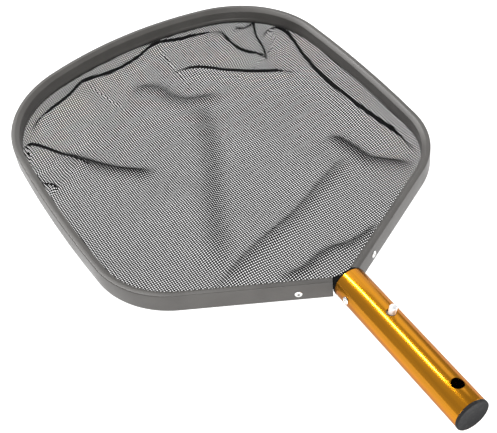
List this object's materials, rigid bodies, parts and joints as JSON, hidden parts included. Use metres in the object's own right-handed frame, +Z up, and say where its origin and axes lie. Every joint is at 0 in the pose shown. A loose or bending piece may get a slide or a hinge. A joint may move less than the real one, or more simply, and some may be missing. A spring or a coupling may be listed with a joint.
{
  "type": "leaf skimmer net",
  "caption": "Flat pool skimmer: aluminium hoop frame with a fine mesh net, a short gold handle tube and a V spring with snap buttons that lock it to a pole.",
  "frame": {"origin": "centre of the bounding box on the surface the skimmer lies on", "axes": "+Y along the handle towards the far side of the net, +X to the right seen from the handle, +Z up"},
  "size_m": [0.332, 0.5579, 0.0434],
  "materials": {
    "frame_paint": "warm grey satin coating",
    "black_nylon": "fine textured black",
    "net_fabric": "fine black polyester mesh",
    "gold_anodised": "glossy gold anodised",
    "bright_rivet": "bright",
    "mandrel_steel": "dark broken steel pin",
    "spring_steel": "rolled strip",
    "button_metal": "bright plated"
  },
  "bodies": {
    "skimmer": {"frame_rail": "frame_paint", "net_mesh": "net_fabric", "net_hem": "net_fabric", "net_cord": "black_nylon", "yoke": "black_nylon", "handle_tube": "gold_anodised", "end_plug": "black_nylon", "arm_rivet_left_sleeve": "bright_rivet", "arm_rivet_left_mandrel": "mandrel_steel", "arm_rivet_right_sleeve": "bright_rivet", "arm_rivet_right_mandrel": "mandrel_steel", "handle_rivet_left_sleeve": "bright_rivet", "handle_rivet_left_mandrel": "mandrel_steel", "handle_rivet_right_sleeve": "bright_rivet", "handle_rivet_right_mandrel": "mandrel_steel", "snap_spring_bend": "spring_steel"},
    "snap_upper": {"snap_leg_upper": "spring_steel", "snap_button_upper": "button_metal"},
    "snap_lower": {"snap_leg_lower": "spring_steel", "snap_button_lower": "button_metal"}
  },
  "joints": [
    {"name": "snap_upper_press", "type": "hinge", "parent": "skimmer", "child": "snap_upper", "pos_m": [0.0005, -0.22659, 0.02561], "axis": [0.9877, -0.0025, -0.1564], "range_deg": [-9, 0], "stiffness_Nm_per_rad": 3.8, "springref_deg": 5.73},
    {"name": "snap_lower_press", "type": "hinge", "parent": "skimmer", "child": "snap_lower", "pos_m": [-0.0005, -0.22668, 0.01929], "axis": [-0.9877, 0.0025, 0.1564], "range_deg": [-9, 0], "stiffness_Nm_per_rad": 3.8, "springref_deg": 5.73}
  ]
}
